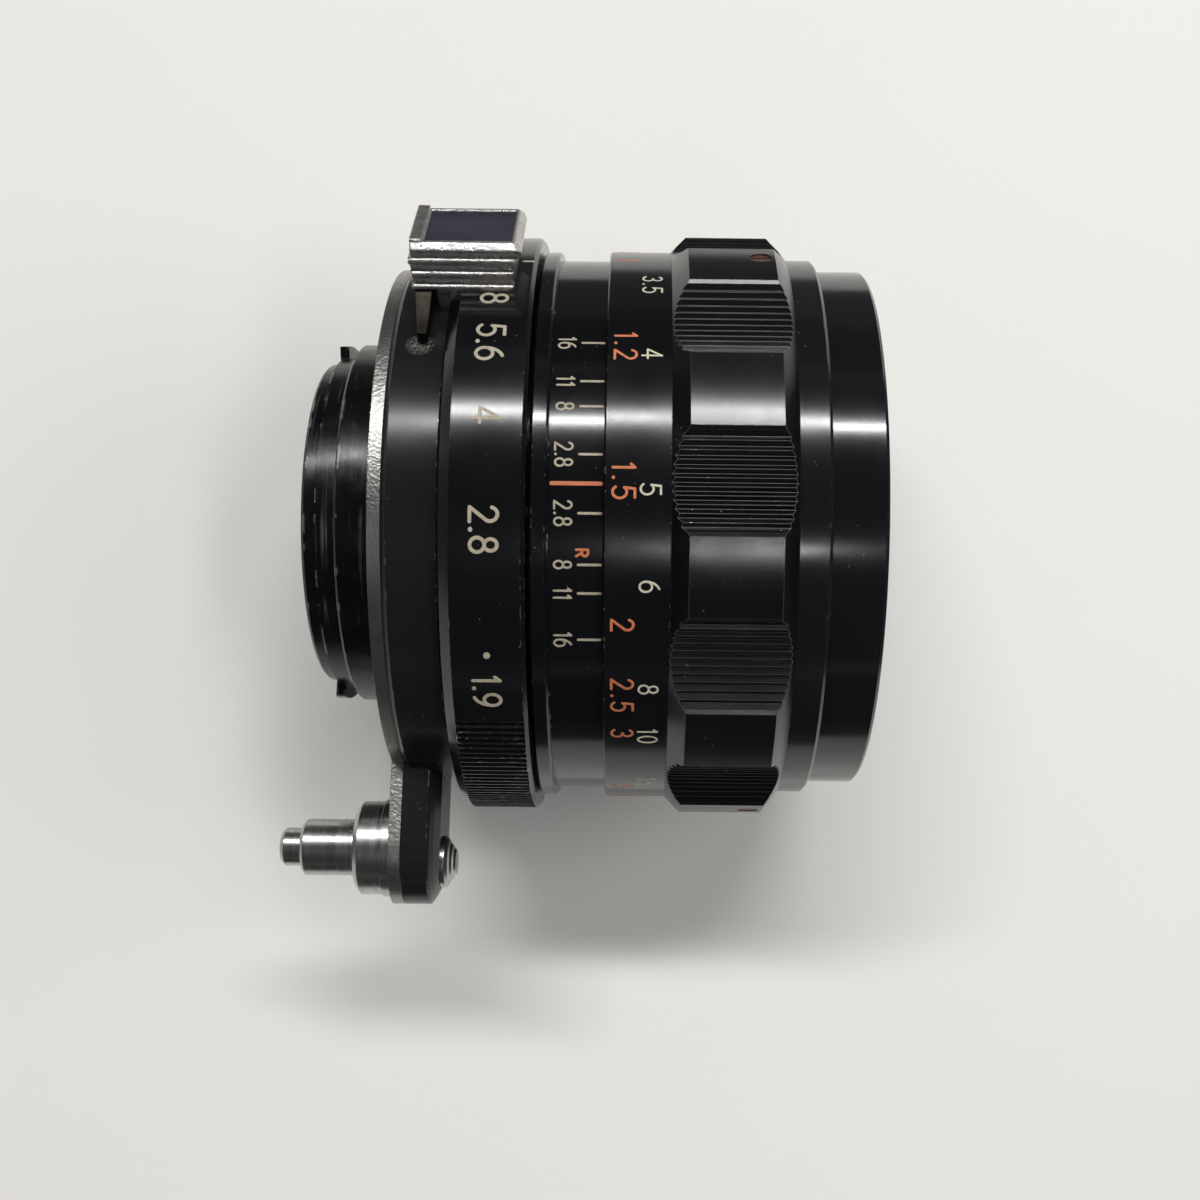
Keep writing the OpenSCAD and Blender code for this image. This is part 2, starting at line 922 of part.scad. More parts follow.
module cam_pins() {
    color("Gray")
        for (angle = cam_pin_at)
            at(angle)
                radial_pin(cam_pin_r, cam_pin_x, cam_bore + 0.2, cam_pin_r1);
}

// Focus ring and what turns with it

function scallop_curve(depth) =
    let (x = grip_r * cos(land_edge), y = grip_r * sin(land_edge), floor_r = grip_r - depth)
        ((x - floor_r) * (x - floor_r) + y * y) / (2 * (x - floor_r));

// radius of the scallop's floor at an angle from its middle
function scallop_floor(angle) =
    let (curve = scallop_curve(scallop_depth), centre = grip_r - scallop_depth + curve)
        centre * cos(angle) - sqrt(curve * curve - pow(centre * sin(angle), 2));

// how far an outline point stands above the scallop's floor: ends, ridges and grooves in turn
function ridge_rise(i) =
    i == 0 || i == 2 * ridge_count ? ridge_proud : i % 2 == 0 ? -ridge_depth : 0;

// outline of one scallop: ridges standing on a hollow floor
function scallop_points(middle) = [
    for (i = [0 : 2 * ridge_count])
        let (angle = -land_edge + scallop_width * i / (2 * ridge_count))
            knurl_point(scallop_floor(angle) + ridge_rise(i), middle + angle)
];

// outline of the grip: the lands lie outside the turned ring, so its own surface is kept there
module grip_outline() {
    pitch = 360 / scallop_count;
    land_r = grip_r + 2;
    polygon([
        for (i = [0 : scallop_count - 1])
            let (middle = scallop_first + i * pitch)
                each concat(
                    [knurl_point(land_r, middle - land_edge)],
                    scallop_points(middle),
                    [knurl_point(land_r, middle + land_edge)]
                )
    ]);
}

module focus_grip() {
    rise = grip_r - grip_chamfer_r;
    front_rise = grip_r - grip_front_r;
    color("Black")
        difference() {
            intersection() {
                turned([
                    [collar_r, grip_x0],
                    [grip_chamfer_r, grip_x0],
                    [grip_r, grip_x0 + rise],
                    [grip_r, grip_x1 - 0.8 * front_rise],
                    [grip_front_r, grip_x1],
                    [collar_r, grip_x1]
                ]);
                flat(grip_x0 - over, grip_x1 + over)
                    grip_outline();
            }
            grip_screw_places()
                radial_pin(grip_screw_r + run, screw_x, collar_r - over, grip_r + over);
        }
}

module grip_screw_places() {
    pitch = 360 / scallop_count;
    for (land = grip_screw_lands)
        at(scallop_first + (land + 0.5) * pitch + grip_screw_shift)
            children();
}

module grip_screws() {
    color("SaddleBrown")
        grip_screw_places()
            difference() {
                intersection() {
                    radial_pin(grip_screw_r, screw_x, collar_r - over, grip_r - grip_screw_sunk);
                    tube(grip_r, collar_r, screw_x - 2 * grip_screw_r, screw_x + 2 * grip_screw_r);
                }
                bar(screw_x - 2 * grip_screw_r, screw_x + 2 * grip_screw_r, slot_w / 2,
                    grip_r - grip_screw_sunk - grip_slot_depth, grip_r + over);
            }
}

module distance_ring() {
    color("Black")
        turned([
            [distance_bore, distance_x0],
            [distance_r - 0.15, distance_x0],
            [distance_r, distance_x0 + 0.15],
            [distance_r, grip_x0],
            [collar_r, grip_x0],
            [collar_r, collar_x0],
            [collar_bore, collar_x0],
            [collar_bore, sleeve_x1 + 0.3],
            [distance_bore, sleeve_x1 + 0.3]
        ]);
}

module front_collar() {
    color("Black")
        turned([
            [collar_bore, collar_x0],
            [collar_r, collar_x0],
            [collar_r, collar_x1 - 0.3],
            [collar_r - 0.3, collar_x1],
            [collar_bore, collar_x1]
        ]);
}

module focus_nut() {
    color("Goldenrod")
        turned([
            [nut_bore, nut_x0],
            [barrel_bore - run, nut_x0],
            [barrel_bore - run, nut_flange_x0],
            [collar_bore, nut_flange_x0],
            [collar_bore, nut_x1],
            [nut_bore, nut_x1]
        ]);
}

// Sliding front: barrel, cells and glass

module filter_ring() {
    color("Black")
        turned([
            [skirt_bore, skirt_x0],
            [front_r, skirt_x0],
            [front_r, front_x1 - 0.3],
            [front_r - 0.3, front_x1],
            [filter_r + 0.25, front_x1],
            [filter_r, front_x1 - 0.25],
            [filter_r, thread_x0],
            [skirt_bore, thread_x0],
            [skirt_bore, web_x1],
            [helicoid_bore, web_x1],
            [helicoid_bore, web_x0],
            [skirt_bore, web_x0]
        ]);
}

module helicoid_barrel() {
    color("Goldenrod")
        difference() {
            turned([
                [helicoid_bore, helicoid_x0],
                [helicoid_r, helicoid_x0],
                [helicoid_r, helicoid_x1],
                [skirt_bore - run, helicoid_x1],
                [skirt_bore - run, web_x0],
                [helicoid_bore, web_x0]
            ]);
            for (angle = key_angles)
                at(angle)
                    bar(helicoid_x0 - over, key_slot_x1, key_half + run,
                        helicoid_bore - over, nut_bore + over);
        }
}

// bare ring in front of the glass, stepped against stray light
module bezel_ring() {
    outer = skirt_bore - run;
    inner = helicoid_bore - 2 * run;
    base_x = bezel_low_x + bezel_lip;
    tread = (outer - bezel_rim - bezel_r0) / bezel_steps;
    riser = (bezel_high_x - base_x) / bezel_steps;
    color("Black")
        turned(concat(
            [[bezel_r0, bezel_low_x], [bezel_r0, base_x]],
            [
                for (i = [0 : bezel_steps - 1])
                    each [
                        [bezel_r0 + tread * (i + 0.5), base_x + riser * i],
                        [bezel_r0 + tread * (i + 1), base_x + riser * (i + 1)]
                    ]
            ],
            [[outer, bezel_high_x], [outer, web_x1], [inner, web_x1], [inner, bezel_low_x]]
        ));
}

module front_cell() {
    color("DimGray")
        turned([
            [cell_stop_r, front_cell_x0],
            [cell_r, front_cell_x0],
            [cell_r, front_cell_x1],
            [front_glass_r + seat_gap, front_cell_x1],
            [front_glass_r + seat_gap, front_seat_x],
            [second_glass_r + seat_gap, front_seat_x],
            [second_glass_r + seat_gap, cement_x],
            [third_glass_r + seat_gap, cement_x],
            [third_glass_r + seat_gap, third_seat_x],
            [cell_stop_r, third_seat_x]
        ]);
}

module rear_cell() {
    flange_x = helicoid_x0 + 0.1;
    color("DimGray")
        difference() {
            turned([
                [rear_glass_r + seat_gap, rear_cell_x0],
                [rear_cell_r - 0.2, rear_cell_x0],
                [rear_cell_r, rear_cell_x0 + 0.2],
                [rear_cell_r, rear_cell_wide_x - 0.6],
                [rear_cell_wide_r, rear_cell_wide_x],
                [rear_cell_wide_r, flange_x],
                [cell_r, flange_x],
                [cell_r, iris_plate_x0],
                [rear_glass_r + seat_gap, iris_plate_x0],
                [rear_glass_r + seat_gap, rear_cement_x],
                [fifth_glass_r + seat_gap, rear_cement_x],
                [fifth_glass_r + seat_gap, fifth_seat_x],
                [rear_stop_r, fifth_seat_x],
                [rear_stop_r, rear_seat_x],
                [rear_glass_r + seat_gap, rear_seat_x]
            ]);
            tongue_way();
        }
}

// room for the tongue to swing
module tongue_way() {
    at(tongue_at + stop_turn / 2)
        intersection() {
            tube(iris_r + over, tongue_r0 - 0.3, helicoid_x0 - over, iris_plate_x1 + over);
            wedge(helicoid_x0 - 1, iris_plate_x1 + 1, stop_turn + tongue_sweep);
        }
}

module front_element() {
    color([0.8, 0.75, 0.95, 0.4])
        glass(front_seat_x, front_vertex_x, front_glass_r, 0, front_curve);
}

module second_element() {
    color([0.85, 0.85, 0.9, 0.4])
        glass(cement_x, second_vertex_x, second_glass_r, 0, second_curve);
}

module third_element() {
    color([0.85, 0.85, 0.9, 0.4])
        glass(third_seat_x, cement_x, third_glass_r, -third_curve, 0);
}

module fourth_element() {
    color([0.85, 0.85, 0.9, 0.4])
        glass(rear_cement_x, fourth_rim_x, rear_glass_r, 0, -fourth_curve);
}

module fifth_element() {
    color([0.85, 0.85, 0.9, 0.4])
        glass(fifth_vertex_x, rear_cement_x, fifth_glass_r, fifth_curve, 0);
}

module rear_element() {
    color([0.8, 0.75, 0.95, 0.4])
        glass(rear_vertex_x0, rear_vertex_x1, rear_glass_r, rear_curve, rear_front_curve);
}

// thin ring that holds a glass in its cell
module retainer(radius, start) {
    tube(radius, radius - retainer_wall, start, start + retainer_len);
}

module front_retainer() {
    color("Black")
        retainer(front_glass_r, front_retainer_x);
}

module front_spacer() {
    color("Black")
        tube(second_glass_r, second_glass_r - spacer_wall, spacer_x0, spacer_x1);
}

module rear_retainer() {
    color("Black")
        retainer(rear_glass_r, rear_retainer_x);
}

// Iris

module iris_plate() {
    color("Goldenrod")
        difference() {
            tube(iris_r, iris_open_r, iris_plate_x0, iris_plate_x1);
            for (i = [0 : blade_count - 1])
                at(i * 360 / blade_count)
                    rod(iris_pin_r + run, iris_plate_x0 - over, iris_plate_x1 + over, 0, pivot_at);
            tongue_way();
        }
}

// place of a blade's tail pin, made with its pivot at the top: [y, z] at a part of its turn
function tail_point(part) =
    let (
        turn = blade_turn * part,
        y = -tail_at * sin(tail_angle),
        z = tail_at * cos(tail_angle) - pivot_at
    )
        [y * cos(turn) - z * sin(turn), y * sin(turn) + z * cos(turn) + pivot_at];

// the same place seen from the turning iris ring
function slot_point(part) =
    let (p = tail_point(part), turn = -stop_turn * part)
        [p[0] * cos(turn) - p[1] * sin(turn), p[0] * sin(turn) + p[1] * cos(turn)];

module iris_ring() {
    color("Goldenrod")
        union() {
            difference() {
                tube(iris_ring_r, iris_open_r + air, iris_ring_x0, iris_ring_x1);
                for (i = [0 : blade_count - 1])
                    at(i * 360 / blade_count)
                        tail_slot();
            }
            at(tongue_at)
                bar(tongue_x0, iris_ring_x1, tongue_half, tongue_r0, tongue_r1);
        }
}

// cam slot for one tail pin, from one end of its path to the other
module tail_slot() {
    half = iris_pin_r + air;
    start = slot_point(0);
    end = slot_point(1);
    span = end - start;
    for (p = [start, end])
        rod(half, iris_ring_x0 - over, iris_ring_x1 + over, p[0], p[1]);
    flat(iris_ring_x0 - over, iris_ring_x1 + over)
        translate(start)
            rotate(atan2(span[1], span[0]))
                translate([0, -half])
                    square([norm(span), 2 * half]);
}

// a crescent blade with its pivot pin behind and its tail pin in front
module iris_blade(index) {
    x0 = blade_x0 + blade_step * index;
    x1 = x0 + blade_t;
    tail = tail_point(0);
    color("DarkSlateGray")
        at(index * 360 / blade_count)
            union() {
                intersection() {
                    tube(blade_r1, blade_r0, x0, x1);
                    blade_sector(x0, x1);
                }
                rod(blade_eye_r, x0, x1, 0, pivot_at);
                rod(tail_eye_r, x0, x1, tail[0], tail[1]);
                flat(x0, x1)
                    translate([0, pivot_at])
                        rotate(atan2(tail[1] - pivot_at, tail[0]))
                            translate([0, 0.1 - tail_eye_r])
                                square([norm(tail - [0, pivot_at]), 2 * (tail_eye_r - 0.1)]);
                rod(iris_pin_r, iris_plate_x0 + 2 * run, x1, 0, pivot_at);
                rod(iris_pin_r, x0, iris_ring_x1 - 2 * run, tail[0], tail[1]);
            }
}

// the half turn of the disc that a blade covers
module blade_sector(x0, x1) {
    reach = 30;
    flat(x0 - over, x1 + over)
        polygon([
            [0, 0],
            knurl_point(reach, 0),
            knurl_point(reach, blade_arc / 3),
            knurl_point(reach, blade_arc * 2 / 3),
            knurl_point(reach, blade_arc)
        ]);
}

// Stop-down ring and plunger

module stop_ring() {
    color("Goldenrod")
        difference() {
            turned([
                [stop_r0, stop_x0],
                [stop_r1, stop_x0],
                [stop_r1, stop_x1],
                [stop_web_r, stop_x1],
                [stop_web_r, stop_web_x],
                [stop_r0, stop_web_x]
            ]);
            at(tongue_at)
                bar(stop_web_x - over, stop_x1 + over, tongue_half + run,
                    stop_web_r - over, tongue_r1 + air);
            drive_slot();
        }
}

// slanted slot that turns the ring as the drive pin moves back
module drive_slot() {
    middle_r = (stop_r0 + stop_r1) / 2;
    along = middle_r * stop_turn * PI / 180;
    slope = atan2(plunger_travel, along);
    at(arm_angle - stop_turn / 2)
        translate([drive_x - plunger_travel / 2, 0, middle_r])
            rotate([0, 0, 90])
                rotate([0, 0, slope])
                    slot_bar(norm([along, plunger_travel]));
}

module slot_bar(length) {
    depth = 2 * (stop_r1 - stop_r0);
    translate([-length / 2, -slot_half, -depth / 2])
        cube([length, 2 * slot_half, depth]);
    for (side = [-1, 1])
        translate([side * length / 2, 0, -depth / 2])
            cylinder(h = depth, r = slot_half, $fn = 32);
}

module plunger_pin() {
    color("Silver")
        at_plunger()
            turned([
                [0, pin_x0],
                [pin_r - 0.4, pin_x0],
                [pin_r, pin_x0 + 0.4],
                [pin_r, disc_x0],
                [0, disc_x0]
            ]);
}

module plunger_disc() {
    color("Gray")
        union() {
            at_plunger()
                rod(disc_r, disc_x0, disc_x1);
            at(arm_angle) {
                bar(disc_x0, disc_x1, finger_half, stop_r1 + 0.3, plunger_out);
                radial_pin(drive_pin_r, drive_x, drive_in, stop_r1 + 1);
            }
        }
}

// a low button turned with stepped rings
module release_button() {
    rise = (button_top_x - button_base_x) / button_rings;
    color("Silver")
        at_plunger(button_shift)
            turned(concat(
                [[0, disc_x1], [button_r, disc_x1], [button_r, button_base_x]],
                [
                    for (i = [0 : button_rings - 1])
                        let (r = button_r * (1 - 0.2 * i), x = button_base_x + rise * i)
                            each [[r - 0.1, x + rise * 0.25], [r - 0.35, x + rise * 0.9]]
                ],
                [[0, button_top_x]]
            ));
}

module plunger_spring() {
    color("Gray")
        at_plunger()
            tube(spring_r, spring_r - spring_wire, spring_seat_x + seat_gap, disc_x0 - seat_gap);
}

bayonet_mount();
flange_plate();
mount_screws();
plate_screws();
rear_housing();
main_barrel();
depth_ring();
guide_keys();
key_screws();
plunger_guide();
guide_bush();
click_ball();
click_spring();
aperture_ring();
finger_block();
block_inlay();
coupling_finger();
preset_cam();
cam_pins();
focus_grip();
distance_ring();
front_collar();
focus_nut();
grip_screws();
filter_ring();
helicoid_barrel();
bezel_ring();
front_cell();
rear_cell();
front_element();
second_element();
third_element();
fourth_element();
fifth_element();
rear_element();
front_retainer();
front_spacer();
rear_retainer();
iris_plate();
iris_ring();
iris_blade(0);  // iris_blade_1
iris_blade(1);  // iris_blade_2
iris_blade(2);  // iris_blade_3
iris_blade(3);  // iris_blade_4
iris_blade(4);  // iris_blade_5
iris_blade(5);  // iris_blade_6
stop_ring();
plunger_pin();
plunger_disc();
release_button();
plunger_spring();
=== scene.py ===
"""Looks of the lens: procedural finishes, painted scales, filter thread, table, light and camera.

Lengths are written in millimetres and turned into metres by MM, apart from the lamps', which are
in metres. The optical axis is X with the front at +X. Angles round the axis are in degrees, start
at +Z and grow towards -Y.
"""

import math

import bpy
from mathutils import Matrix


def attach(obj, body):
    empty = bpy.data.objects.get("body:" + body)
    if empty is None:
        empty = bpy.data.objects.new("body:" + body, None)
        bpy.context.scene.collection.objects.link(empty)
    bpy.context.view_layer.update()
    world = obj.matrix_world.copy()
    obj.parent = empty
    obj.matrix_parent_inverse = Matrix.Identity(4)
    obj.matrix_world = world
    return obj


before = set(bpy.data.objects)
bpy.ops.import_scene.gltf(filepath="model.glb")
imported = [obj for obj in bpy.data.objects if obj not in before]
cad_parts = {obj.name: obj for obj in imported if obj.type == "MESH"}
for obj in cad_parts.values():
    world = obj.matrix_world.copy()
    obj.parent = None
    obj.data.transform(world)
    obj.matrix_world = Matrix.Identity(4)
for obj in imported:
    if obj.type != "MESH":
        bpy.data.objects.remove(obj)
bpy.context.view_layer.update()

MM = 0.001

# colours, as linear values
BLACK = (0.0026, 0.0028, 0.0038, 1)
WORN_BLACK = (0.0045, 0.0047, 0.006, 1)
BARE_METAL = (0.55, 0.53, 0.5, 1)
RUBBED_METAL = (0.62, 0.6, 0.57, 1)
CHROME = (0.36, 0.35, 0.33, 1)
STEEL = (0.46, 0.455, 0.44, 1)
SCREW_STEEL = (0.5, 0.49, 0.47, 1)
BLADE_STEEL = (0.16, 0.17, 0.2, 1)
# dark brownish metal of the coupling finger, darkened further by painted shade for the finger lying under
# the finger block
DARK_METAL_AND_SHADE = (0.05, 0.044, 0.036, 1)
COPPER = (0.3, 0.14, 0.085, 1)
BRASS = (0.62, 0.45, 0.2, 1)
DUST = (0.32, 0.31, 0.29, 1)
CREAM = (0.56, 0.53, 0.42, 1)
AGED_CREAM = (0.39, 0.345, 0.262, 1)
ORANGE = (0.55, 0.165, 0.068, 1)
WHITE = (0.66, 0.63, 0.55, 1)
TABLE = (0.79, 0.785, 0.765, 1)
HORIZON = (0.6, 0.59, 0.57, 1)
OVERHEAD = (0.045, 0.045, 0.05, 1)

# spot on the rear housing that the coupling finger's tip rubs
FINGER_TIP = (4, 15.5, 22.3)

# radii that carry painted scales
APERTURE_R = 30
SLEEVE_R = 27.75
DISTANCE_R = 28.7


def shaded(colour, share):
    """A colour made lighter or darker."""
    return tuple(min(1, c * share) for c in colour[:3]) + (1,)


def hazed(colour, haze):
    """A colour under a thin neutral haze."""
    return tuple(c + haze for c in colour[:3]) + (1,)


# Shader nodes


def start_material(name):
    """A new material with one Principled shader; returns the material, its tree and the shader."""
    material = bpy.data.materials.new(name)
    material.use_nodes = True
    tree = material.node_tree
    tree.nodes.clear()
    output = tree.nodes.new("ShaderNodeOutputMaterial")
    shader = tree.nodes.new("ShaderNodeBsdfPrincipled")
    tree.links.new(shader.outputs["BSDF"], output.inputs["Surface"])
    return material, tree, shader


def feed(tree, socket, value):
    """Sets a socket to a plain value, or links it to another socket."""
    if isinstance(value, bpy.types.NodeSocket):
        tree.links.new(value, socket)
    else:
        socket.default_value = value


def place(tree, stretch):
    """Object coordinates, stretched along each axis."""
    coordinates = tree.nodes.new("ShaderNodeTexCoord")
    mapping = tree.nodes.new("ShaderNodeMapping")
    mapping.inputs["Scale"].default_value = stretch
    tree.links.new(coordinates.outputs["Object"], mapping.inputs["Vector"])
    return mapping.outputs["Vector"]


def noise(tree, size, detail=3, stretch=(1, 1, 1)):
    """Noise whose features are about size millimetres across."""
    node = tree.nodes.new("ShaderNodeTexNoise")
    node.inputs["Scale"].default_value = 1 / (size * MM)
    node.inputs["Detail"].default_value = detail
    tree.links.new(place(tree, stretch), node.inputs["Vector"])
    return node.outputs["Fac"]


def cells(tree, size):
    """Distance to the nearest of points scattered about size millimetres apart."""
    node = tree.nodes.new("ShaderNodeTexVoronoi")
    node.inputs["Scale"].default_value = 1 / (size * MM)
    tree.links.new(place(tree, (1, 1, 1)), node.inputs["Vector"])
    return node.outputs["Distance"]


def spread(tree, value, low, high, to_low=0, to_high=1):
    """Takes low..high to to_low..to_high, clamped."""
    node = tree.nodes.new("ShaderNodeMapRange")
    feed(tree, node.inputs["Value"], value)
    node.inputs["From Min"].default_value = low
    node.inputs["From Max"].default_value = high
    node.inputs["To Min"].default_value = to_low
    node.inputs["To Max"].default_value = to_high
    return node.outputs["Result"]


def combine(tree, operation, first, second):
    """One step of arithmetic on two values."""
    node = tree.nodes.new("ShaderNodeMath")
    node.operation = operation
    feed(tree, node.inputs[0], first)
    feed(tree, node.inputs[1], second)
    return node.outputs["Value"]


def mix(tree, amount, first, second):
    """Mix of two colours."""
    node = tree.nodes.new("ShaderNodeMix")
    node.data_type = "RGBA"
    feed(tree, node.inputs[0], amount)
    feed(tree, node.inputs[6], first)
    feed(tree, node.inputs[7], second)
    return node.outputs[2]


def near(tree, spot, radius, softness):
    """One within radius millimetres of a spot, falling to nothing over softness millimetres."""
    coordinates = tree.nodes.new("ShaderNodeTexCoord")
    distance = tree.nodes.new("ShaderNodeVectorMath")
    distance.operation = "DISTANCE"
    tree.links.new(coordinates.outputs["Object"], distance.inputs[0])
    distance.inputs[1].default_value = [c * MM for c in spot]
    return spread(tree, distance.outputs["Value"], (radius + softness) * MM, radius * MM)


def rounded_normal(tree, radius):
    """Surface direction with its edges rounded by a radius in millimetres."""
    bevel = tree.nodes.new("ShaderNodeBevel")
    bevel.samples = 4
    bevel.inputs["Radius"].default_value = radius * MM
    return bevel.outputs["Normal"]


def edge_mask(tree, radius):
    """One along the edges, nothing on open faces."""
    geometry = tree.nodes.new("ShaderNodeNewGeometry")
    dot = tree.nodes.new("ShaderNodeVectorMath")
    dot.operation = "DOT_PRODUCT"
    tree.links.new(rounded_normal(tree, radius), dot.inputs[0])
    tree.links.new(geometry.outputs["Normal"], dot.inputs[1])
    return spread(tree, dot.outputs["Value"], 0.995, 0.8)


def bump(tree, height, depth, normal):
    """Relief of depth millimetres over another surface direction."""
    node = tree.nodes.new("ShaderNodeBump")
    node.inputs["Strength"].default_value = 1
    node.inputs["Distance"].default_value = depth * MM
    tree.links.new(height, node.inputs["Height"])
    tree.links.new(normal, node.inputs["Normal"])
    return node.outputs["Normal"]


# Finishes


def black_finish(
    name,
    rough,
    gloss,
    chips,
    turning=0.0007,
    edge=0.2,
    soft=0.1,
    edge_wear_and_highlight=0,
    rub=None,
    haze=0,
):
    """Black lacquer on turned metal: grain, turning marks, dust, bright metal at worn edges.

    chips shifts how much paint has flaked off the edges; edge_wear_and_highlight is the least bare metal
    along them, partly wear and partly a painted highlight for the light lines on the grip's ridge crests.
    turning is the depth of the turning marks, edge the width of the worn edges and soft their
    rounding, in millimetres. rub is a scraped spot, and haze a pale film over the paint.
    """
    material, tree, shader = start_material(name)
    tone = mix(tree, noise(tree, 6), hazed(BLACK, haze), hazed(WORN_BLACK, haze))
    flakes = spread(tree, noise(tree, 0.7, 6), 0.6 - chips, 0.66 - chips)
    clusters = spread(tree, noise(tree, 4, 3), 0.47, 0.6, 0.05, 1)
    # a least share of bare metal along every edge: partly wear, and on the grip partly a painted highlight
    # for the light lines on its ridge crests
    flaked = combine(tree, "MAXIMUM", combine(tree, "MULTIPLY", flakes, clusters), edge_wear_and_highlight)
    wear = combine(tree, "MULTIPLY", edge_mask(tree, edge), flaked)
    if rub:
        scraped = spread(tree, noise(tree, 0.14, 4), 0.45, 0.6, 0, 0.6)
        spot = combine(tree, "MULTIPLY", near(tree, rub, 0.5, 0.9), scraped)
        wear = combine(tree, "MAXIMUM", wear, spot)
    sparse = spread(tree, noise(tree, 3), 0.52, 0.62, 0, 0.5)
    specks = combine(tree, "MULTIPLY", spread(tree, cells(tree, 0.9), 0.07, 0.04), sparse)
    dusty = mix(tree, specks, tone, DUST)
    feed(tree, shader.inputs["Base Color"], mix(tree, wear, dusty, BARE_METAL))
    feed(tree, shader.inputs["Metallic"], wear)
    smear = spread(tree, noise(tree, 4, 5, (1, 0.5, 0.5)), 0.3, 0.7, rough - 0.015, rough + 0.025)
    feed(tree, shader.inputs["Roughness"], combine(tree, "MAXIMUM", smear, specks))
    shader.inputs["Specular IOR Level"].default_value = gloss
    turned = bump(tree, noise(tree, 0.12, 2, (1, 0.01, 0.01)), turning, rounded_normal(tree, soft))
    feed(tree, shader.inputs["Normal"], bump(tree, noise(tree, 0.1, 2), 0.0006, turned))
    return material


def mount_finish():
    """Black bayonet: paint rubbed in rings and chipped to bright metal at its rear rim."""
    material, tree, shader = start_material("worn_mount")
    rings = spread(tree, noise(tree, 0.35, 4, (1, 0.03, 0.03)), 0.56, 0.72)
    rubbed = combine(tree, "MULTIPLY", rings, spread(tree, noise(tree, 5, 3), 0.45, 0.75, 0, 0.18))
    flakes = spread(tree, noise(tree, 2.4, 5), 0.55, 0.6)
    split = tree.nodes.new("ShaderNodeSeparateXYZ")
    tree.links.new(place(tree, (1, 1, 1)), split.inputs["Vector"])
    rim_start, rim_end = -3.4 * MM, -4.4 * MM
    rear = spread(tree, split.outputs["X"], rim_start, rim_end, 0.12, 1)
    rear_flakes = combine(tree, "MULTIPLY", flakes, rear)
    chips = combine(tree, "MULTIPLY", edge_mask(tree, 0.35), rear_flakes)
    bare = combine(tree, "MAXIMUM", chips, rubbed)
    feed(tree, shader.inputs["Base Color"], mix(tree, bare, BLACK, RUBBED_METAL))
    feed(tree, shader.inputs["Metallic"], bare)
    feed(tree, shader.inputs["Roughness"], spread(tree, noise(tree, 2, 4), 0.3, 0.7, 0.2, 0.3))
    shader.inputs["Specular IOR Level"].default_value = 0.3
    turned = bump(tree, noise(tree, 0.15, 2, (1, 0.01, 0.01)), 0.001, rounded_normal(tree, 0.12))
    feed(tree, shader.inputs["Normal"], bump(tree, chips, -0.02, turned))
    return material


def metal_finish(name, colour, rough, grain_size, grain_depth, turned=False, stain=0.35, rim=1.25):
    """Bare or plated metal with grain or turning marks, dull stains and edges scaled by rim; rim under one
    paints shade.
    """
    material, tree, shader = start_material(name)
    stretch = (1, 0.02, 0.02) if turned else (1, 1, 1)
    stains = spread(tree, noise(tree, 1.6, 6, stretch), 0.48, 0.75, 0, stain)
    bright = mix(tree, stains, colour, shaded(colour, 0.45))
    # edges scaled by rim: on the screws a rim under one paints shade into the edges, standing for the gap
    # round each flush head
    edges = mix(tree, edge_mask(tree, 0.14), bright, shaded(colour, rim))
    feed(tree, shader.inputs["Base Color"], edges)
    shader.inputs["Metallic"].default_value = 1
    patches = noise(tree, 0.8, 4, stretch)
    dull = spread(tree, patches, 0.3, 0.7, rough - 0.02, rough + 0.05)
    feed(tree, shader.inputs["Roughness"], dull)
    relief = noise(tree, grain_size, 3, stretch)
    feed(tree, shader.inputs["Normal"], bump(tree, relief, grain_depth, rounded_normal(tree, 0.12)))
    return material


def cast_finish():
    """Plated casting of the finger block: sandy grain, a few pits and rounded ridges."""
    material, tree, shader = start_material("cast_chrome")
    pits = spread(tree, cells(tree, 0.5), 0.2, 0.08)
    pitted = combine(tree, "MULTIPLY", pits, spread(tree, noise(tree, 1.1, 4), 0.55, 0.65))
    clouds = spread(tree, noise(tree, 0.6, 5), 0.4, 0.72, 0, 0.55)
    bright, dull, dirt = (0.68, 0.665, 0.64, 1), (0.36, 0.35, 0.335, 1), (0.1, 0.09, 0.08, 1)
    feed(tree, shader.inputs["Base Color"], mix(tree, pitted, mix(tree, clouds, bright, dull), dirt))
    shader.inputs["Metallic"].default_value = 1
    feed(tree, shader.inputs["Roughness"], spread(tree, noise(tree, 0.4, 4), 0.3, 0.7, 0.24, 0.4))
    waves = bump(tree, noise(tree, 0.8, 2), 0.04, rounded_normal(tree, 0.4))
    sandy = bump(tree, noise(tree, 0.24, 2), 0.04, waves)
    feed(tree, shader.inputs["Normal"], bump(tree, pitted, -0.02, sandy))
    return material


def enamel_finish():
    """Dark slate enamel with faint wipe marks and dust."""
    material, tree, shader = start_material("dark_enamel")
    wipes = spread(tree, noise(tree, 2.5, 5, (0.3, 1, 1)), 0.35, 0.75)
    dark, wiped = (0.018, 0.018, 0.03, 1), (0.035, 0.034, 0.052, 1)
    slate = mix(tree, wipes, dark, wiped)
    specks = spread(tree, cells(tree, 0.5), 0.06, 0.03, 0, 0.5)
    feed(tree, shader.inputs["Base Color"], mix(tree, specks, slate, DUST))
    feed(tree, shader.inputs["Roughness"], spread(tree, wipes, 0, 1, 0.26, 0.4))
    ripples = bump(tree, noise(tree, 0.3, 3), 0.003, rounded_normal(tree, 0.1))
    feed(tree, shader.inputs["Normal"], ripples)
    return material


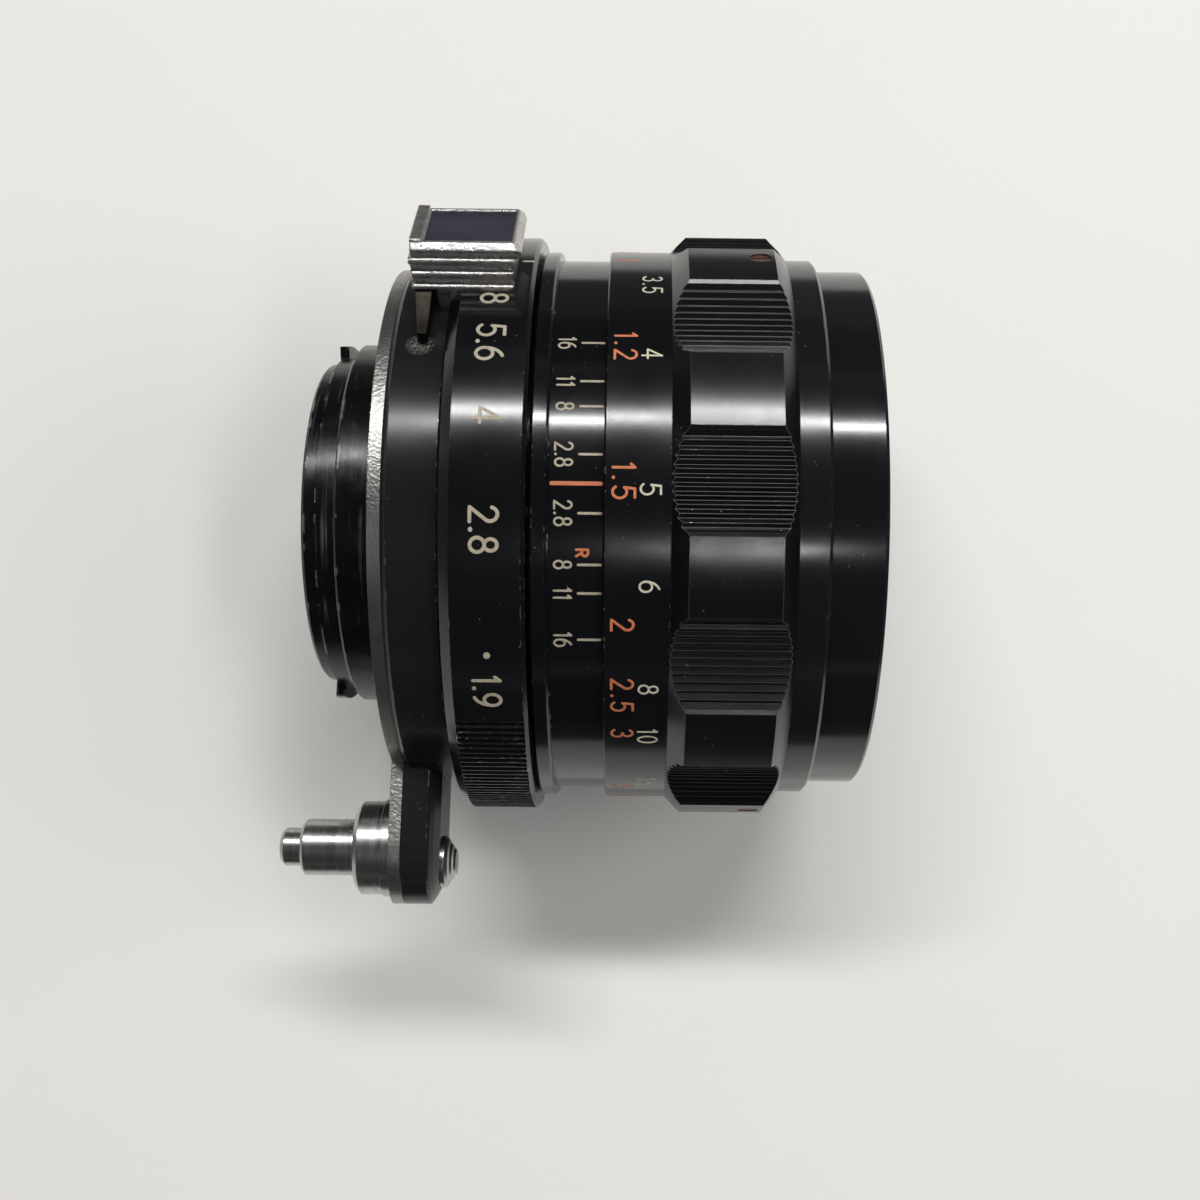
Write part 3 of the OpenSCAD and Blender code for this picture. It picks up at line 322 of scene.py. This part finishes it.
def matt_finish():
    """Matt black paint of the inner parts, with a fine sprayed grain."""
    material, tree, shader = start_material("matt_black")
    dark, pale = (0.008, 0.008, 0.009, 1), (0.02, 0.02, 0.022, 1)
    feed(tree, shader.inputs["Base Color"], mix(tree, noise(tree, 1.2, 5), dark, pale))
    feed(tree, shader.inputs["Roughness"], spread(tree, noise(tree, 0.4, 3), 0.3, 0.7, 0.55, 0.75))
    sprayed = bump(tree, noise(tree, 0.15, 3), 0.006, rounded_normal(tree, 0.08))
    feed(tree, shader.inputs["Normal"], sprayed)
    return material


def glass_finish(name, tint, film):
    """Clear glass with a little dust and an anti-reflection film, film nanometres thick."""
    material, tree, shader = start_material(name)
    specks = spread(tree, cells(tree, 1.4), 0.03, 0.015, 0, 0.25)
    feed(tree, shader.inputs["Base Color"], mix(tree, specks, tint, DUST))
    feed(tree, shader.inputs["Roughness"], combine(tree, "MULTIPLY", specks, 0.5))
    shader.inputs["Transmission Weight"].default_value = 1
    shader.inputs["IOR"].default_value = 1.6
    shader.inputs["Thin Film Thickness"].default_value = film
    shader.inputs["Thin Film IOR"].default_value = 1.38
    return material


def paint_finish(name, colour):
    """Engraving paint, a little uneven and faded in places."""
    material, tree, shader = start_material(name)
    patches = spread(tree, noise(tree, 0.35, 5), 0.42, 0.72, 0, 0.7)
    feed(tree, shader.inputs["Base Color"], mix(tree, patches, colour, shaded(colour, 0.55)))
    feed(tree, shader.inputs["Roughness"], spread(tree, noise(tree, 0.2, 3), 0.3, 0.7, 0.45, 0.65))
    brushed = bump(tree, noise(tree, 0.15, 3), 0.008, rounded_normal(tree, 0.04))
    feed(tree, shader.inputs["Normal"], brushed)
    return material


def table_finish():
    """Pale warm table top with faint mottling."""
    material, tree, shader = start_material("table_top")
    patches = spread(tree, noise(tree, 60, 4), 0.3, 0.7)
    feed(tree, shader.inputs["Base Color"], mix(tree, patches, TABLE, shaded(TABLE, 0.985)))
    shader.inputs["Roughness"].default_value = 0.85
    shader.inputs["Specular IOR Level"].default_value = 0.15
    return material


def cloth_finish():
    """Dark grey cloth round the pale sheet."""
    material, tree, shader = start_material("dark_cloth")
    folds = spread(tree, noise(tree, 90, 4), 0.3, 0.7)
    dark, pale = (0.05, 0.05, 0.052, 1), (0.07, 0.07, 0.072, 1)
    feed(tree, shader.inputs["Base Color"], mix(tree, folds, dark, pale))
    shader.inputs["Roughness"].default_value = 0.9
    return material


def dress_nodes():
    """Gives every CAD node its finish."""
    dressed = {
        black_finish("black_aperture", rough=0.16, gloss=0.5, chips=0.07, edge=0.16, soft=0.06): [
            "aperture_ring",
        ],
        black_finish("black_sleeve", rough=0.13, gloss=0.5, chips=0.02, turning=0.001): ["depth_ring"],
        black_finish("black_distance", rough=0.18, gloss=0.45, chips=0.02): ["distance_ring"],
        # the grip's edges always carry some bare metal: partly wear, partly a painted highlight for the
        # light lines along the ridge crests
        black_finish("black_grip", rough=0.2, gloss=0.5, chips=0, edge=0.12, soft=0.08, edge_wear_and_highlight=0.2): [
            "focus_grip",
        ],
        black_finish("black_collar", rough=0.16, gloss=0.5, chips=0, soft=0.04, haze=0.003): [
            "front_collar",
        ],
        black_finish(
            "black_front", rough=0.13, gloss=0.5, chips=-0.06, turning=0.001, soft=0.06, haze=0.002
        ): ["filter_ring"],
        black_finish("black_housing", rough=0.22, gloss=0.32, chips=0.04, rub=FINGER_TIP, haze=0.006): [
            "rear_housing",
            "main_barrel",
        ],
        mount_finish(): ["bayonet_mount"],
        metal_finish("satin_chrome", CHROME, rough=0.34, grain_size=0.3, grain_depth=0.06): [
            "flange_plate",
        ],
        metal_finish(
            "polished_steel", STEEL, rough=0.25, grain_size=0.1, grain_depth=0.003, turned=True, stain=0.05
        ): [
            "plunger_guide",
            "guide_bush",
            "plunger_pin",
            "release_button",
        ],
        cast_finish(): ["finger_block"],
        # the coupling finger's very dark colour is partly its own brownish metal and partly painted shade
        # from the finger block over it
        metal_finish("finger_metal_and_shade", DARK_METAL_AND_SHADE, rough=0.55, grain_size=0.25, grain_depth=0.03, stain=0.8): [
            "coupling_finger",
        ],
        enamel_finish(): ["block_inlay"],
        # the dark rims of these screws are painted shade for the gap round each head, which the CAD heads
        # lack
        metal_finish("screw_steel", SCREW_STEEL, rough=0.3, grain_size=0.15, grain_depth=0.002, rim=0.06): [
            "mount_screws",
            "plate_screws",
            "key_screws",
            "click_ball",
            "click_spring",
            "cam_pins",
            "plunger_disc",
            "plunger_spring",
        ],
        # the dark rims of the grip screws are painted shade for the gap round each head
        metal_finish("copper_screw", COPPER, rough=0.38, grain_size=0.15, grain_depth=0.004, rim=0.3): [
            "grip_screws",
        ],
        metal_finish("brass", BRASS, rough=0.3, grain_size=0.12, grain_depth=0.002, turned=True): [
            "guide_keys",
            "preset_cam",
            "focus_nut",
            "iris_plate",
            "iris_ring",
            "stop_ring",
        ],
        matt_finish(): [
            "helicoid_barrel",
            "bezel_ring",
            "front_cell",
            "rear_cell",
            "front_retainer",
            "front_spacer",
            "rear_retainer",
        ],
        glass_finish("coated_glass", tint=(0.96, 0.93, 1, 1), film=130): ["front_element", "rear_element"],
        glass_finish("clear_glass", tint=(0.98, 1, 0.99, 1), film=0): [
            "second_element",
            "third_element",
            "fourth_element",
            "fifth_element",
        ],
        metal_finish("blade_steel", BLADE_STEEL, rough=0.36, grain_size=0.2, grain_depth=0.002): [
            f"iris_blade_{n}" for n in range(1, 7)
        ],
    }
    for material, names in dressed.items():
        for name in names:
            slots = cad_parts[name].data.materials
            slots.clear()
            slots.append(material)
    return {material.name: material for material in dressed}


# Painted scales


def arc(centre_s, centre_t, radius_s, radius_t, start, end, count=18):
    """Points on part of an ellipse, from start to end degrees."""
    turns = [math.radians(start + (end - start) * i / count) for i in range(count + 1)]
    return [(centre_s + radius_s * math.cos(a), centre_t + radius_t * math.sin(a)) for a in turns]


def turned_round(strokes, width):
    """The same strokes turned by half a turn in their box."""
    return [[(width - s, 1 - t) for s, t in stroke] for stroke in strokes]


SIX = [
    arc(0.28, 0.31, 0.26, 0.31, 180, 540, 28),
    arc(0.52, 0.31, 0.5, 0.69, 180, 105, 12),
]

# each sign: its width and its strokes, in a box one unit high; ~ stands for infinity
SIGNS = {
    "0": (0.54, [arc(0.27, 0.5, 0.26, 0.5, 90, 450, 32)]),
    "1": (0.26, [[(0.2, 0), (0.2, 1)], [(0.2, 1), (0.04, 0.82)]]),
    "2": (
        0.54,
        [arc(0.27, 0.73, 0.25, 0.27, 165, -25) + [(0.02, 0)], [(0.02, 0), (0.54, 0)]],
    ),
    "3": (
        0.54,
        [arc(0.26, 0.76, 0.23, 0.24, 150, -90), arc(0.26, 0.27, 0.27, 0.26, 90, -150)],
    ),
    "4": (0.6, [[(0.42, 1), (0.02, 0.28)], [(0.02, 0.28), (0.6, 0.28)], [(0.42, 1), (0.42, 0)]]),
    "5": (
        0.54,
        [[(0.5, 1), (0.1, 1)], [(0.1, 1), (0.05, 0.52)], arc(0.25, 0.32, 0.28, 0.32, 135, -145)],
    ),
    "6": (0.54, SIX),
    "7": (0.52, [[(0, 1), (0.52, 1)], [(0.52, 1), (0.16, 0)]]),
    "8": (
        0.54,
        [arc(0.27, 0.76, 0.21, 0.23, -90, 270, 28), arc(0.27, 0.27, 0.26, 0.26, 90, 450, 28)],
    ),
    "9": (0.54, turned_round(SIX, 0.54)),
    ".": (0.12, [[(0.05, 0.03), (0.07, 0.03)]]),
    "R": (
        0.56,
        [
            [(0, 0), (0, 1)],
            [(0, 1), (0.28, 1)] + arc(0.28, 0.74, 0.26, 0.26, 90, -90, 12) + [(0, 0.48)],
            [(0.26, 0.48), (0.56, 0)],
        ],
    ),
    "~": (
        1.2,
        [arc(0.3, 0.45, 0.3, 0.25, 0, 360, 24), arc(0.9, 0.45, 0.3, 0.25, 180, 540, 24)],
    ),
}

# section of a painted stroke: offset as a share of its half width, and height over the ring
STROKE_SECTION = [(-1, -0.05), (-1, 0.006), (-0.8, 0.014), (0.8, 0.014), (1, 0.006), (1, -0.05)]

# degrees at which the rounded end of a stroke has its points
CAP_TURNS = [75, 50, 25]

# how much each stroke of a word lies over the one before, so that crossings don't share a face
STROKE_LIFT = 0.0007


def stroke_frames(points, half):
    """Places along a stroke: point, direction along it and width share, with rounded ends."""
    frames = []
    last = len(points) - 1
    for i, point in enumerate(points):
        before = points[max(i - 1, 0)]
        after = points[min(i + 1, last)]
        along = (after[0] - before[0], after[1] - before[1])
        length = math.hypot(*along)
        along = (along[0] / length, along[1] / length)
        frames.append((point, along))
    rows = []

    def cap(point, along, way, turns):
        for turn in turns:
            reach = way * half * math.sin(math.radians(turn))
            place_at = (point[0] + along[0] * reach, point[1] + along[1] * reach)
            rows.append((place_at, along, math.cos(math.radians(turn))))

    cap(*frames[0], -1, CAP_TURNS)
    for point, along in frames:
        rows.append((point, along, 1))
    cap(*frames[-1], 1, reversed(CAP_TURNS))
    return rows


def add_stroke(mesh, points, half, radius, lift):
    """Adds one closed painted stroke, wrapped on a cylinder. Points are (arc length, X) in mm."""
    vertices, faces = mesh
    rows = stroke_frames(points, half)
    size = len(STROKE_SECTION)
    first = len(vertices)
    for point, along, share in rows:
        for offset, height in STROKE_SECTION:
            reach = offset * half * share
            arc_at = point[0] - along[1] * reach
            x = point[1] + along[0] * reach
            r = radius + height + lift * (height > 0)
            turn = arc_at / radius
            vertices.append((x * MM, -r * math.sin(turn) * MM, r * math.cos(turn) * MM))
    for row in range(len(rows) - 1):
        for k in range(size):
            a = first + row * size + k
            b = first + row * size + (k + 1) % size
            faces.append((a, b, b + size, a + size))
    faces.append(tuple(first + k for k in reversed(range(size))))
    faces.append(tuple(first + (len(rows) - 1) * size + k for k in range(size)))


def add_words(mesh, words, radius, angle, x, height, stroke, gap=0.22, narrow=1):
    """Adds signs centred at an angle and an X; they read towards growing angles, tops to +X.

    gap is the space between signs as a share of their height, and narrow squeezes their width.
    """
    widths = [SIGNS[sign][0] * narrow for sign in words]
    total = (sum(widths) + gap * (len(words) - 1)) * height
    left = math.radians(angle) * radius - total / 2
    lift = 0
    for sign, width in zip(words, widths):
        for points in SIGNS[sign][1]:
            laid = [(left + s * narrow * height, x + (t - 0.5) * height) for s, t in points]
            half = stroke * (0.6 if sign == "." else 0.5)
            add_stroke(mesh, laid, half, radius, lift)
            lift += STROKE_LIFT
        left += (width + gap) * height


def add_tick(mesh, radius, angle, x0, x1, stroke):
    """Adds a straight mark along the axis."""
    side = math.radians(angle) * radius
    add_stroke(mesh, [(side, x0), (side, (x0 + x1) / 2), (side, x1)], stroke / 2, radius, 0)


def finish_piece(name, mesh, material, body):
    """Turns vertices and faces into an object that rides on a body."""
    data = bpy.data.meshes.new(name)
    data.from_pydata(mesh[0], [], mesh[1])
    data.validate()
    data.materials.append(material)
    piece = bpy.data.objects.new(name, data)
    bpy.context.scene.collection.objects.link(piece)
    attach(piece, body)


def aperture_scale(cream, white):
    """Stops, the dot of the widest stop and one tick on the aperture ring."""
    numbers = ([], [])
    for words, angle in (("1.9", 33), ("2.8", 3.6), ("4", -16.1), ("5.6", -30.7), ("8", -41.5)):
        add_words(numbers, words, APERTURE_R, angle, x=10.88, height=2.45, stroke=0.33)
    dot_x, dot_angles = 11, (25.7, 25.75)
    dot_ends = [(math.radians(angle) * APERTURE_R, dot_x) for angle in dot_angles]
    add_stroke(numbers, dot_ends, half=0.32, radius=APERTURE_R, lift=0)
    finish_piece("aperture_numbers", numbers, cream, "aperture")
    ticks = ([], [])
    add_tick(ticks, APERTURE_R, angle=-54.6, x0=13.15, x1=14.05, stroke=0.27)
    finish_piece("aperture_tick", ticks, white, "aperture")


def depth_scale(cream, orange, index_angle=-5):
    """Index line, depth of field marks and the infrared mark on the fixed sleeve."""
    marks = ([], [])
    for words, step in (("2.8", 5.5), ("8", 15), ("11", 20.4), ("16", 29.6)):
        for side in (-1, 1):
            angle = index_angle + side * step
            add_tick(marks, SLEEVE_R, angle, x0=19.1, x1=21.1, stroke=0.24)
            add_words(marks, words, SLEEVE_R, angle, x=17.7, height=1.56, stroke=0.2, gap=0.2, narrow=0.84)
    finish_piece("depth_marks", marks, cream, "housing")
    index = ([], [])
    add_tick(index, SLEEVE_R, index_angle, x0=16.65, x1=21.05, stroke=0.38)
    add_words(index, "R", SLEEVE_R, index_angle + 12.8, x=19.45, height=1.05, stroke=0.24)
    finish_piece("depth_index", index, orange, "housing")


def distance_scale(cream, orange):
    """Metres and feet on the distance ring."""
    metres = ([], [])
    near_metres = (("0.6", -159), ("0.7", -123), ("0.8", -95.5), ("0.9", -79))
    far_metres = (("5", 68), ("10", 82), ("~", 97))
    seen_metres = (
        ("1", -63.7),
        ("1.2", -32.3),
        ("1.5", -5.3),
        ("2", 20.7),
        ("2.5", 35.6),
        ("3", 45.4),
    )
    for words, angle in near_metres + seen_metres + far_metres:
        add_words(metres, words, DISTANCE_R, angle, x=23.1, height=1.98, stroke=0.25, gap=0.34)
    finish_piece("metre_numbers", metres, orange, "focus")
    feet = ([], [])
    near_feet = (("2", -155), ("2.5", -105), ("3", -71.7))
    far_feet = (("15", 64.3), ("30", 81), ("~", 97))
    seen_feet = (
        ("3.5", -50.8),
        ("4", -30.4),
        ("5", -3.8),
        ("6", 13.5),
        ("8", 34.1),
        ("10", 46.2),
    )
    for words, angle in near_feet + seen_feet + far_feet:
        add_words(feet, words, DISTANCE_R, angle, x=25.5, height=1.8, stroke=0.2, gap=0.3)
    finish_piece("feet_numbers", feet, cream, "focus")


def filter_thread(black):
    """Ridge of the filter thread, a helix inside the front ring."""
    root_r, crest_r, pitch, start_x, end_x = 25.63, 25.25, 0.75, 42.8, 46.2
    half_width, per_turn, fade_steps, least_height = 0.36, 96, 12, 0.08
    count = int((end_x - start_x) / pitch * per_turn)
    vertices, faces = [], []
    for i in range(count + 1):
        turn = 2 * math.pi * i / per_turn
        x = start_x + pitch * i / per_turn
        fade = min(1, i / fade_steps, (count - i) / fade_steps)
        crest = root_r - (root_r - crest_r) * max(fade, least_height)
        for side, r in ((-half_width, root_r), (0, crest), (half_width, root_r)):
            y, z = -r * math.sin(turn), r * math.cos(turn)
            vertices.append(((x + side * pitch) * MM, y * MM, z * MM))
    corners = 3
    for i in range(count):
        for k in range(corners):
            a = corners * i + k
            b = corners * i + (k + 1) % corners
            faces.append((a, a + corners, b + corners, b))
    last = corners * count
    faces.append((0, 1, 2))
    faces.append((last + 2, last + 1, last))
    finish_piece("filter_thread", (vertices, faces), black, "front")


# Table, light and camera


def table_top():
    """A wide round table under the lens."""
    floor_z = -30.36
    radii = (200, 500, 800)
    sides = 96
    vertices, faces = [(0, 0, floor_z * MM)], []
    for radius in radii:
        for i in range(sides):
            turn = 2 * math.pi * i / sides
            x, y = radius * math.cos(turn), radius * math.sin(turn)
            vertices.append((x * MM, y * MM, floor_z * MM))
    for i in range(sides):
        j = (i + 1) % sides
        faces.append((0, 1 + i, 1 + j))
        for ring in range(len(radii) - 1):
            inner, outer = 1 + ring * sides, 1 + (ring + 1) * sides
            faces.append((inner + i, outer + i, outer + j, inner + j))
    data = bpy.data.meshes.new("table")
    data.from_pydata(vertices, [], faces)
    data.materials.append(table_finish())
    table = bpy.data.objects.new("table", data)
    bpy.context.scene.collection.objects.link(table)


def dark_room():
    """Dark surroundings of the pale sheet, which only reflections see."""
    left, right, front, back, wall = -300, 150, -184, 85, 1500
    low, high = -30.2, 650
    rings = [
        [(left, front, low), (right, front, low), (right, back, low), (left, back, low)],
        [(-wall, -wall, low), (wall, -wall, low), (wall, wall, low), (-wall, wall, low)],
        [(-wall, -wall, high), (wall, -wall, high), (wall, wall, high), (-wall, wall, high)],
    ]
    vertices = [[c * MM for c in corner] for ring in rings for corner in ring]
    faces = []
    corners = 4
    for ring in range(len(rings) - 1):
        inner, outer = corners * ring, corners * (ring + 1)
        for i in range(corners):
            j = (i + 1) % corners
            faces.append((inner + i, outer + i, outer + j, inner + j))
    data = bpy.data.meshes.new("dark_room")
    data.from_pydata(vertices, [], faces)
    data.materials.append(cloth_finish())
    room = bpy.data.objects.new("dark_room", data)
    bpy.context.scene.collection.objects.link(room)
    room.visible_camera = False
    room.visible_diffuse = False
    room.visible_shadow = False
    room.visible_transmission = False


def lamp(name, direction, distance, size, power, colour=(1, 1, 1)):
    """An area lamp seen from the lens in a direction, turned towards it; lengths in metres."""
    target = (0.02, 0, 0)
    length = math.sqrt(sum(c * c for c in direction))
    data = bpy.data.lights.new(name, "AREA")
    data.shape = "RECTANGLE"
    data.size, data.size_y = size
    data.energy = power
    data.color = colour
    light = bpy.data.objects.new(name, data)
    bpy.context.scene.collection.objects.link(light)
    away = [c / length for c in direction]
    light.location = [t + c * distance for t, c in zip(target, away)]
    tilt_x = math.atan2(-away[1], away[2])
    tilt_y = math.atan2(away[0], math.hypot(away[1], away[2]))
    light.rotation_euler = (tilt_x, tilt_y, 0)
    return light


def studio():
    """Soft lamps that light and shade, and narrow strips that only show in the gloss."""
    warm, pale = (1, 0.985, 0.96), (1, 0.99, 0.97)
    key = lamp("key", (-0.02, 0.515, 0.857), distance=1.2, size=(0.9, 0.07), power=12, colour=warm)
    side = lamp("side", (0.42, 0.06, 0.9), distance=1.1, size=(0.12, 0.6), power=2.6, colour=pale)
    fill = lamp("fill", (0.75, 0.1, 0.6), distance=0.75, size=(0.4, 0.4), power=1.2, colour=pale)
    for light in (key, side, fill):
        light.visible_glossy = False
    strip = lamp("strip", (0, 0.65, 0.76), distance=1.2, size=(0.9, 0.04), power=9.5)
    second = lamp("second", (0.085, -0.2, 1), distance=1.1, size=(0.08, 0.04), power=0.5)
    for light in (strip, second):
        light.visible_diffuse = False


def dim_room():
    """World light: pale towards the horizon, dark overhead."""
    world = bpy.data.worlds.new("dim_room")
    world.use_nodes = True
    tree = world.node_tree
    coordinates = tree.nodes.new("ShaderNodeTexCoord")
    split = tree.nodes.new("ShaderNodeSeparateXYZ")
    tree.links.new(coordinates.outputs["Generated"], split.inputs["Vector"])
    height = spread(tree, split.outputs["Z"], 0.1, 0.5)
    colour = mix(tree, height, HORIZON, OVERHEAD)
    tree.links.new(colour, tree.nodes["Background"].inputs["Color"])
    bpy.context.scene.world = world


def camera():
    """Camera over the lens, at the photograph's place."""
    data = bpy.data.cameras.new("camera")
    data.sensor_width = 36
    data.lens = 44.65
    data.shift_x = -0.0333
    data.clip_start = 0.005
    view = bpy.data.objects.new("camera", data)
    view.location = (24.652 * MM, -7.885 * MM, 160.05 * MM)
    view.rotation_euler = (0, 0, 0.0117)
    bpy.context.scene.collection.objects.link(view)
    bpy.context.scene.camera = view


finishes = dress_nodes()
cream_paint = paint_finish("cream_paint", CREAM)
aged_paint = paint_finish("aged_paint", AGED_CREAM)
orange_paint = paint_finish("orange_paint", ORANGE)
white_paint = paint_finish("white_paint", WHITE)
aperture_scale(aged_paint, white_paint)
depth_scale(aged_paint, orange_paint)
distance_scale(cream_paint, orange_paint)
filter_thread(finishes["black_front"])
table_top()
dark_room()
studio()
dim_room()
camera()
bpy.context.scene.view_settings.view_transform = "Standard"
